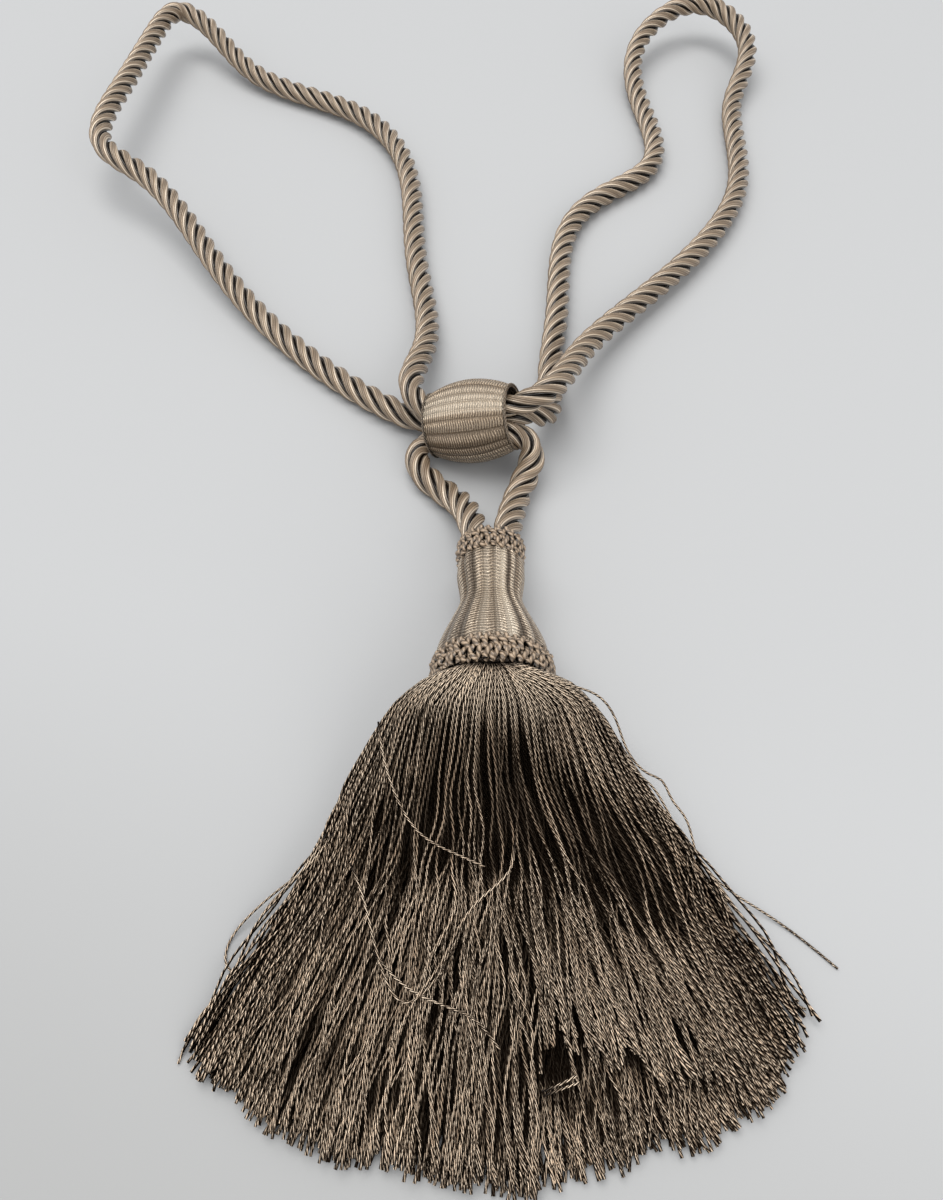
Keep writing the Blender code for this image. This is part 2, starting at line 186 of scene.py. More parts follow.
def strands_mesh(name, centres, outs, wide, tall, sides):
    """One mesh of many tubes; centres is tubes x rings x 3, in millimetres.

    outs points to each tube's crown. In the UV map the whole number of u is the tube, its
    fraction goes round the tube, and v is the length along it in millimetres.
    """
    tubes, rings = centres.shape[:2]
    tangents = unit(np.gradient(centres, axis=1))
    outs = unit(outs - tangents * np.sum(outs * tangents, axis=2, keepdims=True))
    across = np.cross(tangents, outs)
    angles = 2 * np.pi * np.arange(sides) / sides
    wide = np.broadcast_to(wide, (tubes, rings))[:, :, None, None]
    tall = np.broadcast_to(tall, (tubes, rings))[:, :, None, None]
    points = (centres[:, :, None] + tall * np.cos(angles)[:, None] * outs[:, :, None]
              + wide * np.sin(angles)[:, None] * across[:, :, None])
    index = np.arange(tubes * rings * sides).reshape(tubes, rings, sides)
    turned = np.roll(index, -1, axis=2)
    quads = np.stack([index[:, :-1], turned[:, :-1], turned[:, 1:], index[:, 1:]], axis=-1)
    faces = quads.reshape(-1, 4).tolist()
    faces += index[:, 0, ::-1].tolist() + index[:, -1].tolist()
    mesh = bpy.data.meshes.new(name)
    mesh.from_pydata((points.reshape(-1, 3) * MM).tolist(), [], faces)
    steps = np.linalg.norm(np.diff(centres, axis=1), axis=2)
    walked = np.concatenate([np.zeros((tubes, 1)), np.cumsum(steps, axis=1)], axis=1)
    u = np.arange(tubes)[:, None, None, None] + (np.arange(sides)[:, None] + [0, 1, 1, 0]) / sides
    v = np.stack([walked[:, :-1], walked[:, :-1], walked[:, 1:], walked[:, 1:]], axis=-1)
    uv = np.zeros((tubes, rings - 1, sides, 4, 2))
    uv[..., 0] = u
    uv[..., 1] = v[:, :, None]
    caps = np.zeros((tubes * 2 * sides, 2))
    caps[:, 0] = np.tile(np.repeat(np.arange(tubes), sides), 2) + 0.5
    caps[tubes * sides:, 1] = np.repeat(walked[:, -1], sides)
    layer = mesh.uv_layers.new(name="along")
    layer.data.foreach_set("uv", np.concatenate([uv.reshape(-1, 2), caps]).ravel())
    mesh.shade_smooth()
    mesh.update()
    piece = bpy.data.objects.new(name, mesh)
    bpy.context.collection.objects.link(piece)
    return piece


class Shade:
    """A shader socket that sums are written on; every operator adds its Math node."""

    def __init__(self, tree, socket):
        self.tree, self.socket = tree, socket

    def node(self, kind, settings=None, output=0, **inputs):
        """Any other node: its settings first, then its sockets, _0 being the first of them."""
        made = self.tree.nodes.new(kind)
        for key, value in (settings or {}).items():
            setattr(made, key, value)
        for key, value in inputs.items():
            socket = made.inputs[int(key[1:])]
            if isinstance(value, Shade):
                self.tree.links.new(value.socket, socket)
            else:
                socket.default_value = value
        return Shade(self.tree, made.outputs[output])

    def sum(self, operation, *values):
        """A Math node on values that are sockets or plain numbers."""
        inputs = {f"_{i}": value for i, value in enumerate(values)}
        return self.node("ShaderNodeMath", {"operation": operation}, **inputs)

    def __add__(self, other):
        return self.sum("ADD", self, other)

    def __radd__(self, other):
        return self.sum("ADD", other, self)

    def __sub__(self, other):
        return self.sum("SUBTRACT", self, other)

    def __rsub__(self, other):
        return self.sum("SUBTRACT", other, self)

    def __mul__(self, other):
        return self.sum("MULTIPLY", self, other)

    def __rmul__(self, other):
        return self.sum("MULTIPLY", other, self)

    def __truediv__(self, other):
        return self.sum("DIVIDE", self, other)

    def __pow__(self, other):
        return self.sum("POWER", self, other)

    def __abs__(self):
        return self.sum("ABSOLUTE", self)

    def fraction(self):
        return self.sum("FRACT", self)

    def whole(self):
        return self.sum("FLOOR", self)

    def wave(self):
        """A sine wave from 0 to 1, one for each whole step of the value."""
        return self.sum("SINE", self * (2 * math.pi)) * 0.5 + 0.5

    def between(self, low, high):
        """0 below low, 1 above high, and smooth from one to the other."""
        return self.node("ShaderNodeMapRange", {"interpolation_type": "SMOOTHSTEP"},
                         _0=self, _1=low, _2=high)

    def vector(self, x, y, z=0.0):
        return self.node("ShaderNodeCombineXYZ", _0=x, _1=y, _2=z)

    def noise(self, place, scale, detail=2.0):
        """Soft noise at a place."""
        return self.node("ShaderNodeTexNoise", _0=place, _2=scale, _3=detail)

    def chance(self, number):
        """A random value from 0 to 1 that stays the same for the same number."""
        return self.node("ShaderNodeTexWhiteNoise", {"noise_dimensions": "1D"}, _1=number)

    def colour(self, share, first, second):
        """The first colour where share is 0 and the second where it is 1."""
        return self.node("ShaderNodeMix", {"data_type": "RGBA"}, output=2,
                         _0=share, _6=(*first, 1.0), _7=(*second, 1.0))

    def blend(self, share, first, second):
        """Like colour, for sockets and for colours of four values."""
        return self.node("ShaderNodeMix", {"data_type": "RGBA"}, output=2,
                         _0=share, _6=first, _7=second)


def new_material(name, roughness):
    """A material, its shader node, and the two parts of the piece's own UV map."""
    material = bpy.data.materials.new(name)
    material.use_nodes = True
    tree = material.node_tree
    shader = tree.nodes["Principled BSDF"]
    shader.inputs["Roughness"].default_value = roughness
    place = tree.nodes.new("ShaderNodeSeparateXYZ")
    tree.links.new(tree.nodes.new("ShaderNodeUVMap").outputs[0], place.inputs[0])
    return material, shader, Shade(tree, place.outputs[0]), Shade(tree, place.outputs[1])


def finish_with(shader, colour, height, depth):
    """Join the colour and the relief, whose depth is in millimetres, to the shader."""
    tree = colour.tree
    bump = colour.node("ShaderNodeBump", _0=1.0, _1=depth * MM, _2=0.1, _3=height)
    tree.links.new(colour.socket, shader.inputs["Base Color"])
    tree.links.new(bump.socket, shader.inputs["Normal"])


def dress(piece, material, slot, *nodes):
    """Give a finished piece its material, attach it to the root body and hide the model's parts it
    stands for.
    """
    piece.data.materials.append(material)
    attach(piece, "root")
    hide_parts(*nodes)


route = np.array(LEFT_LEG + bead_pass(-PASS_REACH, PASS_REACH, 210, 330)
                 + RIGHT_LOOP + bead_pass(PASS_REACH, -PASS_REACH, 90, -30)
                 + LEFT_LOOP + bead_pass(-PASS_REACH, PASS_REACH, 90, 210) + RIGHT_LEG)
rope_path = smooth_curve(route, PATH_STEP, PATH_EASING)
rope_width = rope_radii(rope_path)
rope_path[:, 2] = np.maximum(rope_path[:, 2], rope_width)
rope_length = np.linalg.norm(np.diff(rope_path, axis=0), axis=1).sum()
rope_rings = int(rope_length / ROPE_STEP)
rope_width = np.interp(np.linspace(0, 1, rope_rings), np.linspace(0, 1, len(rope_width)),
                       rope_width)
rope_line = evenly_spaced(rope_path, rope_rings)
rope_sides, rope_ups = carried_frames(rope_line)
turn = 2 * np.pi * np.linspace(0, rope_length / ROPE_LEAD, rope_rings)
strand_centres, strand_outs = [], []
for strand in range(ROPE_STRANDS):
    angle = (turn + 2 * np.pi * strand / ROPE_STRANDS)[:, None]
    out = np.cos(angle) * rope_sides + np.sin(angle) * rope_ups
    strand_outs.append(out)
    strand_centres.append(rope_line + STRAND_REACH * rope_width[:, None] * out)
rope = strands_mesh("satin_rope", np.array(strand_centres), np.array(strand_outs),
                    STRAND_WIDE * rope_width, STRAND_TALL * rope_width, ROPE_SIDES)

satin, shader, u, v = new_material("satin rope yarn", 0.27)
shader.inputs["Specular IOR Level"].default_value = 0.8
shader.inputs["Metallic"].default_value = 0.2
crown = abs(u.fraction() - 0.5) * 2.0
yarn_phase = u.fraction() * 13.0 + v / 15.0
yarn = abs(yarn_phase.fraction() - 0.5) * 2.0
filament = u.noise(u.vector(yarn_phase * 3.0, v * 0.05, u.whole()), 1.0)
patch = u.noise(u.vector(u.whole() * 3.0, v * 0.02), 1.0)
tone = u.colour(patch, (0.32, 0.229, 0.149), (0.43, 0.318, 0.212))
# painted shade and painted highlight: three yarn bundles on each strand, dark in the creases
# between them, with a painted highlight line along their edges
bundle_shade_and_highlight = (u.fraction() * 3.0 + 0.28).wave()
tone = u.blend(bundle_shade_and_highlight.between(0.25, 0.90) * 0.72, tone, (0.15, 0.106, 0.068, 1.0))
tone = u.blend((1.0 - bundle_shade_and_highlight).between(0.70, 1.0) * 0.9, tone, (0.86, 0.715, 0.555, 1.0))
# painted shade: darker lines in the creases between each strand's fine yarns
tone = u.blend(yarn.between(0.35, 0.95) * 0.7, tone, (0.13, 0.09, 0.057, 1.0))
tone = u.blend(filament.between(0.5, 0.8) * 0.5, tone, (0.66, 0.55, 0.42, 1.0))
# painted shade: each strand goes near black away from its crown, where it faces its neighbours
tone = u.blend(crown.between(0.48, 0.80), (0.012, 0.008, 0.005, 1.0), tone)
finish_with(shader, tone, 1.0 - yarn ** 2.0 + filament * 0.4, 0.24)
dress(rope, satin, "satin_rope", "rope")
rope_length * MM

# ---- bead -------------------------------------------------------------------------------
# A hollow barrel covered in fine thread, wound across lengthwise cords, so that it shows soft
# ribs. A two-ply cord edges each mouth. The right end rides up on the ropes that leave it.
BEAD_HALF_LENGTH = 15.7
BEAD_MIDDLE_RADIUS = 15.3
BEAD_END_RADIUS = 11.7
BEAD_BORE_RADIUS = 10.2
BEAD_MOUTH_RADIUS = 10.9
BEAD_RIBS = 22
BEAD_ROWS = 49
BORE_EVERY = 4                  # the bore takes every fourth row of the outside
BEAD_RIM = [(0.45, 11.75), (0.6, 11.3), (0.35, 10.95)]    # (out past the end, radius)
POINTS_PER_RIB = 10
BORE_V = 200                    # added to v inside a bore, so that its cover can take painted shade
EDGING_RADIUS = 11.75
EDGING_OUT = 0.25
EDGING_SPREAD = 0.3
EDGING_TWISTS = 24
EDGING_YARN_RADIUS = 0.36


def turned_piece(name, profile, ribs, closed):
    """Extrude a circle from row to row of (height, radius) along Z, in millimetres."""
    bpy.ops.object.select_all(action="DESELECT")
    height, radius = profile[0]
    bpy.ops.mesh.primitive_circle_add(vertices=ribs * POINTS_PER_RIB, radius=radius * MM,
                                      fill_type="NOTHING" if closed else "NGON",
                                      location=(0.0, 0.0, height * MM))
    piece = bpy.context.object
    piece.name = name
    bpy.ops.object.transform_apply(location=True)
    bpy.ops.object.mode_set(mode="EDIT")
    bpy.ops.mesh.select_all(action="SELECT")
    for next_height, next_radius in profile[1:]:
        bpy.ops.mesh.extrude_region_move(
            TRANSFORM_OT_translate={"value": (0.0, 0.0, (next_height - height) * MM)})
        bpy.ops.transform.resize(value=(next_radius / radius, next_radius / radius, 1.0),
                                 center_override=(0.0, 0.0, next_height * MM))
        height, radius = next_height, next_radius
    bpy.ops.mesh.select_all(action="SELECT")
    if closed:
        bpy.ops.mesh.remove_doubles(threshold=0.00001)
    bpy.ops.mesh.normals_make_consistent(inside=False)
    bpy.ops.object.mode_set(mode="OBJECT")
    piece.data.shade_smooth()
    return piece


def raise_ribs(piece, ribs, uneven, bore, relief):
    """Lift each rib's crown, and lay a UV map: u counts ribs, v is the height in millimetres.

    Inside the bore BORE_V is added to v.
    """
    mesh = piece.data
    points = np.zeros(len(mesh.vertices) * 3)
    mesh.vertices.foreach_get("co", points)
    points = points.reshape(-1, 3) / MM
    angle = np.arctan2(points[:, 1], points[:, 0])
    radius = np.hypot(points[:, 0], points[:, 1])
    rib = (angle / (2 * np.pi) + 1.0) * ribs
    rib += uneven * (np.sin(3 * angle + 1.0) + 0.6 * np.sin(5 * angle + 2.0))
    raised = radius + (np.abs(np.cos(np.pi * rib)) ** 1.3 - 0.5) * relief(points[:, 2], radius)
    v = points[:, 2] + BORE_V * (radius < bore)
    points[:, 0], points[:, 1] = raised * np.cos(angle), raised * np.sin(angle)
    mesh.vertices.foreach_set("co", (points * MM).ravel())
    layer = mesh.uv_layers.active or mesh.uv_layers.new(name="along")
    corner = np.zeros(len(mesh.loops), dtype=int)
    mesh.loops.foreach_get("vertex_index", corner)
    u = rib[corner]
    starts = np.array([face.loop_start for face in mesh.polygons])
    totals = np.array([face.loop_total for face in mesh.polygons])
    first = np.repeat(u[starts], totals)
    u += ribs * np.round((first - u) / ribs)
    layer.data.foreach_set("uv", np.stack([u + 0.5, v[corner]], axis=1).ravel())
    mesh.update()


def place_along(piece, centre, along, across, up):
    """Turn a piece that was made along Z so that its Z runs along the given direction."""
    mesh = piece.data
    points = np.zeros(len(mesh.vertices) * 3)
    mesh.vertices.foreach_get("co", points)
    points = points.reshape(-1, 3)
    placed = (centre * MM + points[:, :1] * across + points[:, 1:2] * up + points[:, 2:] * along)
    mesh.vertices.foreach_set("co", placed.ravel())
    mesh.update()


def woven_cover(name, pitch, chevron, rib_share, painted_shade_from, painted_shade_to, painted_light, tones):
    """Thread over cords: stitches along each rib, and rungs in the panels between, which are
    darkened with painted shade.

    Each row of the painted light is (first rib, last rib, strength): a painted highlight where the
    strength is above 0 and painted shade where it is below.
    tones are the thread in shade, in light and on raised ribs, and the painted shade of the panels
    between ribs.
    """
    shaded, bright, raised, panels = tones
    material, shader, u, v = new_material(name, 0.30)
    shader.inputs["Specular IOR Level"].default_value = 0.8
    shader.inputs["Metallic"].default_value = 0.55
    side = abs(u.fraction() - 0.5) * 2.0
    rough = u.noise(u.vector(u * 1.3, v * 0.35), 1.0)
    fine = u.noise(u.vector(u * 9.0, v * 2.2), 1.0)
    stitch = (v / pitch + side * chevron + rough * 0.8).wave()
    rungs = (v / pitch + rough * 0.6).wave()
    # painted shade in the panels between the ribs, darker in some panels than in others
    deep = u.chance((u + 0.5).whole() + 0.3).between(0.0, 0.5) * 0.55 + 0.4
    panel = side.between(rib_share, rib_share + 0.22) * deep
    lift = u.chance(u.whole() + 0.5).between(0.2, 0.8)
    tone = u.colour(stitch.between(0.15, 0.85) * 0.8 + fine * 0.5 - 0.15, shaded, bright)
    tone = u.blend(lift * 0.6, tone, u.colour(stitch, shaded, raised))
    tone = u.blend(fine.between(0.52, 0.70) * (1.0 - lift * 0.8), tone, (0.93, 0.81, 0.65, 1.0))
    tone = u.blend(panel, tone, u.colour(rungs * 0.8 + fine * 0.3, panels, raised))
    # painted light: some runs of ribs get a painted highlight, others painted shade
    for first, last, strength in painted_light:
        share = u.between(first - 0.2, first + 0.2) - u.between(last - 0.2, last + 0.2)
        shift = (0.97, 0.86, 0.70, 1.0) if strength > 0 else (0.05, 0.034, 0.022, 1.0)
        tone = u.blend(share * abs(strength), tone, shift)
    # painted shade: the cover goes near black from a given height on, inside the bead's bore and on
    # the head under its base band
    tone = u.blend(v.between(painted_shade_from, painted_shade_to), tone, (0.03, 0.02, 0.013, 1.0))
    finish_with(shader, tone, stitch * 0.9 + fine * 0.6 - panel * 0.8, 0.34)
    return material


shares = np.linspace(-1.0, 1.0, BEAD_ROWS)
bead_rows = [(BEAD_HALF_LENGTH * s, BEAD_END_RADIUS
              + (BEAD_MIDDLE_RADIUS - BEAD_END_RADIUS) * (1 - s * s)) for s in shares]
bead_rows += [(BEAD_HALF_LENGTH + out, radius) for out, radius in BEAD_RIM]
bead_rows += [(BEAD_HALF_LENGTH * s, BEAD_BORE_RADIUS
               + (BEAD_MOUTH_RADIUS - BEAD_BORE_RADIUS) * s * s) for s in shares[::-BORE_EVERY]]
bead_rows += [(-BEAD_HALF_LENGTH - out, radius) for out, radius in reversed(BEAD_RIM)]
bead_rows.append(bead_rows[0])
bead = turned_piece("covered_bead", bead_rows, BEAD_RIBS, closed=True)
raise_ribs(bead, BEAD_RIBS, uneven=0.22, bore=BEAD_MOUTH_RADIUS + 0.03,
           relief=lambda height, radius: np.where(radius > 11.4, 0.5, 0.0)
           * np.clip((BEAD_HALF_LENGTH + 0.4 - np.abs(height)) / 2.5, 0.15, 1.0))
place_along(bead, BEAD_CENTRE, BEAD_ALONG, BEAD_ACROSS, BEAD_UP)
# painted light on the bead: a painted highlight along the top and upper front ribs, and painted
# shade on the back, the lower front and the underside
BEAD_PAINTED_LIGHT = (
    (10.0, 16.0, -0.35), (18.0, 26.3, -0.30), (27.5, 28.4, 0.20), (28.4, 30.4, 0.33),
    (31.3, 32.4, -0.20), (32.4, 40.0, -0.35),
)
bead_cover = woven_cover("bead cover", pitch=0.95, chevron=0.5, rib_share=0.66,
                         painted_shade_from=100, painted_shade_to=110, painted_light=BEAD_PAINTED_LIGHT,
                         tones=((0.12, 0.083, 0.052), (0.66, 0.52, 0.37),
                                (0.36, 0.265, 0.178), (0.04, 0.027, 0.017)))
dress(bead, bead_cover, "woven_cover", "bead")

edging_turn = np.linspace(0, 2 * np.pi, 121)
edging_cords = []
for mouth in (-1, 1):
    for ply in (0, np.pi):
        twist = EDGING_TWISTS * edging_turn + ply
        round_axis = (np.outer(np.cos(edging_turn), BEAD_ACROSS)
                      + np.outer(np.sin(edging_turn), BEAD_UP))
        reach = mouth * (BEAD_HALF_LENGTH + EDGING_OUT + EDGING_SPREAD * np.cos(twist))
        radius = EDGING_RADIUS + EDGING_SPREAD * np.sin(twist)
        edging_cords.append(BEAD_CENTRE + reach[:, None] * BEAD_ALONG
                            + radius[:, None] * round_axis)
edging_cords = np.array(edging_cords)
bead_edging = strands_mesh("bead_edging", edging_cords, edging_cords - BEAD_CENTRE,
                           EDGING_YARN_RADIUS, EDGING_YARN_RADIUS, 6)
dress(bead_edging, satin, "woven_cover", "bead")

# ---- head -------------------------------------------------------------------------------
# A turned mould covered in the same thread, with a bulge, a waist and a flared foot. Its
# ribs are columns of small chain stitches, and its ends are hidden by the knotted bands.
HEAD_X = 12.45
HEAD_Z = 19.0
HEAD_TOP_Y = -64.2
HEAD_LENGTH = 53.0
HEAD_RIBS = 18
HEAD_ROWS = 90
HEAD_EASING = 12
HEAD_PLAIN_TO = 4.0             # the head has no ribs up to here, nor past the next place
HEAD_PLAIN_FROM = 48.0
HEAD_PROFILE = [
    (0.0, 8.6), (3.0, 9.1), (5.5, 10.0), (8.0, 10.8), (12.0, 10.8), (17.0, 10.0), (21.0, 9.5),
    (24.0, 9.9), (28.0, 11.7), (35.5, 15.0), (40.0, 16.7), (43.0, 17.3), (46.0, 17.3),
    (53.0, 17.1),
]
HEAD_ALONG = np.array([0.0, -1.0, 0.0])
HEAD_ACROSS = np.array([1.0, 0.0, 0.0])
HEAD_UP = np.array([0.0, 0.0, 1.0])
head_rows = evenly_spaced(np.array([(0.0, *row) for row in HEAD_PROFILE]), HEAD_ROWS)[:, 1:]
for _ in range(HEAD_EASING):
    head_rows[1:-1] = (head_rows[:-2] + 2 * head_rows[1:-1] + head_rows[2:]) / 4
head = turned_piece("covered_head", [tuple(row) for row in head_rows], HEAD_RIBS, closed=False)
raise_ribs(head, HEAD_RIBS, uneven=0.30, bore=0.0,
           relief=lambda height, radius: np.clip((height - HEAD_PLAIN_TO) / 3, 0, 1)
           * np.clip((HEAD_PLAIN_FROM - height) / 5, 0, 1))
place_along(head, np.array([HEAD_X, HEAD_TOP_Y, HEAD_Z]), HEAD_ALONG, -HEAD_ACROSS, HEAD_UP)
# painted light on the head: painted highlights on the columns along its top, brightest just right
# of the top, and painted shade on the columns beside them and on its right side
HEAD_PAINTED_LIGHT = (
    (20.3, 21.6, -0.60), (22.0, 22.5, 0.20), (22.9, 23.4, 0.20), (23.6, 24.3, 0.55),
    (24.4, 25.2, -0.60), (26.5, 27.5, -0.2),
)
head_cover = woven_cover("head cover", pitch=1.15, chevron=1.1, rib_share=0.50,
                         painted_shade_from=44, painted_shade_to=46, painted_light=HEAD_PAINTED_LIGHT,
                         tones=((0.10, 0.069, 0.043), (0.70, 0.565, 0.42),
                                (0.27, 0.197, 0.132), (0.03, 0.020, 0.013)))
dress(head, head_cover, "woven_cover", "head")

# ---- knotted bands ------------------------------------------------------------------------
# Two rings of knotted yarn hide the ends of the head's cover: a narrow one where the ropes go
# in, and a wide one round the base, where the skirt comes out.
BAND_COLUMNS = ("name", "start", "end", "radius", "strands", "crossings", "thick")
BANDS = (
    ("top_band", -1.6, 6.5, 10.3, 23, 3, 0.86),
    ("base_band", 44.9, 53.2, 18.1, 42, 3, 0.90),
)
band_luck = np.random.default_rng(5)


def knotted_ring(start, end, radius, strands, crossings, thick):
    """Yarns that cross over and under each other on their way across the band."""
    share = np.linspace(0.0, 1.0, crossings * 6 + 1)
    tuck = np.clip(np.minimum(share, 1 - share) * crossings * 2, 0, 1) ** 0.5
    centres, outs = [], []
    for hand in (1, -1):
        for strand in range(strands):
            start_wave, pace, size, shift = band_luck.uniform(0, 1, 4)
            wave = np.sin(2 * np.pi * (share * (1.5 + 2 * pace) + start_wave))
            over = hand * (0.45 + 0.35 * size) * thick * np.cos(np.pi * crossings * share)
            angle = (2 * np.pi * (strand + 0.25 * (shift - 0.5)) / strands
                     + hand * np.pi * crossings * share / strands + 0.5 * wave / strands)
            reach = radius + over + 0.3 * thick * wave - 0.8 * thick * (1 - tuck)
            round_head = np.cos(angle)[:, None] * HEAD_ACROSS + np.sin(angle)[:, None] * HEAD_UP
            along = start + (end - start) * share + 0.35 * (shift - 0.5) + 0.25 * wave
            centres.append(np.array([HEAD_X, HEAD_TOP_Y, HEAD_Z]) + along[:, None] * HEAD_ALONG
                           + reach[:, None] * round_head)
            outs.append(round_head)
    return np.array(centres), np.array(outs)


knot_yarn, shader, u, v = new_material("knotted yarn", 0.38)
crown = 1.0 - abs(u.fraction() - 0.5) * 2.0
ply = (u.fraction() * 2.0 + v / 1.7).wave()
fuzz = u.noise(u.vector(u * 4.0, v * 1.7), 1.0)
own = u.chance(u.whole())
# painted shade: darker in the creases between the two plies
tone = u.colour(ply.between(0.1, 0.8) * 0.8 + fuzz * 0.3,
                (0.055, 0.036, 0.022), (0.46, 0.34, 0.232))
tone = u.blend(own * 0.4, tone, (0.22, 0.16, 0.11, 1.0))
# painted shade: each yarn goes near black away from its crown, in the gaps between the knots
tone = u.blend(crown.between(0.18, 0.50), tone, (0.003, 0.002, 0.001, 1.0))
shader.inputs["Specular IOR Level"].default_value = 0.7
finish_with(shader, tone, ply + fuzz * 0.4, 0.30)
for band in BANDS:
    values = dict(zip(BAND_COLUMNS, band))
    name = values.pop("name")
    centres, outs = knotted_ring(**values)
    ring = strands_mesh("knotted_" + name, centres, outs, values["thick"], values["thick"], 6)
    dress(ring, knot_yarn, "knotted_yarn", name)

# ---- skirt --------------------------------------------------------------------------------
# Eighteen hundred two-ply yarns, sewn in at the head's base. They spring out over a round
# shoulder, fall into a hollow below it, and lie fanned out on the surface in two tiers.
SKIRT_LENGTH = 126.5
# each section's place along, half width, thickness at its middle and at its edge, how much
# higher its underside is at the edge, its underside's height, and its drift to the right
SKIRT_SECTIONS = np.array([
    (0.3, 15.0, 31.0, 1.0, 14.0, 3.5, 0.0),
    (1.4, 19.0, 34.5, 1.0, 16.5, 1.5, 0.2),
    (4.0, 28.5, 36.5, 5.0, 12.0, 0.6, 0.5),
    (8.0, 32.6, 36.8, 7.5, 8.5, 0.6, 0.4),
    (13.0, 35.8, 35.6, 9.0, 6.0, 0.6, 0.3),
    (20.0, 39.8, 31.0, 9.0, 3.5, 0.6, 0.4),
    (30.0, 45.6, 23.5, 8.5, 1.0, 0.6, 0.7),
    (44.0, 53.0, 17.0, 8.0, 0.0, 0.6, 2.4),
    (60.0, 62.0, 13.2, 7.0, 0.0, 0.6, 3.5),
    (86.0, 76.5, 9.8, 5.0, 0.0, 0.6, 2.4),
    (110.0, 89.5, 7.6, 3.5, 0.0, 0.6, 0.5),
    (140.0, 106.0, 5.6, 2.6, 0.0, 0.6, 0.0),
])
YARN_RADIUS = 0.37
YARN_RINGS = 36
ROOT_RINGS = 10                 # of those, this many in the bend over the shoulder
PLY_PITCH = 2.0
FAN_SHIFT = 1.0                 # the cut edge is an arc about a point this far right of the head
TIER_CUT = 31.0                 # how much shorter the upper tier is, right of the middle
UPPER_LEVEL = 0.76              # shells above this level are the upper tier
DROOP_LENGTH = 18.0             # the cut ends sag to the floor over this length
GAP_ACROSS = 0.15               # a gap near the upper tier's edge, sunk and darkened with painted shade, across and along
GAP_ALONG = 101.0
FAN_STEPS = np.concatenate([np.linspace(0.3, 14.0, 15), np.linspace(16.5, 150.0, 62)])
# each shell's yarns, how far it is drawn in, its level, and whether the tier cut shortens it
SHELLS = (
    (86, 0.000, 1.000, 1.0), (86, 0.004, 0.955, 1.0), (90, 0.008, 0.910, 1.0),
    (92, 0.012, 0.865, 1.0), (96, 0.016, 0.820, 1.0), (100, 0.020, 0.775, 1.0),
    (126, 0.030, 0.720, 0.0), (132, 0.040, 0.660, 0.0), (140, 0.050, 0.600, 0.0),
    (146, 0.060, 0.530, 0.0), (146, 0.070, 0.460, 0.0), (120, 0.085, 0.380, 0.0),
    (120, 0.100, 0.300, 0.0), (112, 0.120, 0.220, 0.0), (104, 0.140, 0.140, 0.0),
    (104, 0.060, 0.030, 0.0),
)
# each piece's name, first shell, shell after its last, and sides of its yarns
SKIRT_PIECES = (
    ("outer_skirt_yarns", 0, 6, 5), ("middle_skirt_yarns", 6, 11, 4),
    ("inner_skirt_yarns", 11, 16, 4),
)
luck = np.random.default_rng(11)


def ramp(values, low, high):
    """0 below low, 1 above high, and smooth from one to the other."""
    share = np.clip((values - low) / (high - low), 0, 1)
    return share * share * (3 - 2 * share)


def wander(yarns, waves):
    """Slow random waves along each yarn, from a table of (size, span) in millimetres."""
    total = np.zeros((yarns, len(FAN_STEPS)))
    for size, span in waves:
        own_size, own_pace, start = luck.uniform(0, 1, (3, yarns, 1))
        total += size * (0.3 + own_size) * np.sin(
            2 * np.pi * (FAN_STEPS / span * (0.7 + 0.6 * own_pace) + start))
    return total


def skirt_place(u, level, along):
    """A place in the skirt: u across it, level from its underside up, along from the band."""
    half, crown, edge, cradle, under, drift = (
        np.interp(along, SKIRT_SECTIONS[:, 0], SKIRT_SECTIONS[:, k]) for k in range(1, 7))
    inside = np.clip(np.abs(u), 0, 1)
    low = under + cradle * (1 - np.sqrt(1 - inside ** 2))
    thick = edge + (crown - edge) * (1 - inside ** 3) ** 0.7
    return np.stack([HEAD_X + drift + u * half, HEAD_TOP_Y - HEAD_LENGTH - along,
                     low + level * thick], axis=-1)


def tier_cut(across):
    """How much shorter the upper tier is than the lower one, in millimetres."""
    return TIER_CUT * ramp(across, 0.07, 0.12) * np.clip((0.78 - across) / 0.66, 0, 1)


def depth_inside(yarns):
    """Painted shade from how deep each point lies under the nearest face: 0 at the face, 1 at the
    darkest.
    """
    along = HEAD_TOP_Y - HEAD_LENGTH - yarns[..., 1]
    half, drift = (np.interp(along, SKIRT_SECTIONS[:, 0], SKIRT_SECTIONS[:, k]) for k in (1, 6))
    u = (yarns[..., 0] - HEAD_X - drift) / half
    from_root = np.hypot(yarns[..., 0] - HEAD_X - FAN_SHIFT, along)
    tier_end = SKIRT_LENGTH - tier_cut(u)
    beyond = ramp(from_root, tier_end - 4, tier_end + 2)
    droop = 1 - 0.5 * ramp(from_root, SKIRT_LENGTH - DROOP_LENGTH, SKIRT_LENGTH)
    top = skirt_place(u, 1.0 - 0.42 * beyond, along)[..., 2] * droop
    bottom = skirt_place(u, np.zeros_like(u), along)[..., 2]
    depth = np.minimum(top - yarns[..., 2], yarns[..., 2] - bottom)
    shade = np.clip(depth / (0.5 + 0.25 * (top - bottom)), 0, 1) * np.clip(1 - u ** 6, 0, 1)
    # painted shade: darker towards the sides, past the shoulder
    shade += 0.17 * ramp(np.abs(u - 0.05), 0.2, 0.6) * ramp(along, 22, 40)
    # painted shade in the gap near the upper tier's edge
    pit = np.exp(-((u - GAP_ACROSS) / 0.045) ** 2 - ((along - GAP_ALONG) / 4) ** 2)
    return np.clip(shade + 0.8 * pit, 0, 1)


def walk_over(yarns, level):
    """Where each yarn of a shell starts: from side to side, and how far down the side wall."""
    wall = 0.13 * level
    walk = np.linspace(-1.0, 1.0, yarns) * (1 + wall)
    walk += luck.normal(0.0, 0.8 / yarns, yarns)
    side = np.clip(walk, -1, 1)[:, None]
    return side, (np.clip(np.abs(walk) - 1, 0, None) / max(wall, 0.01))[:, None]


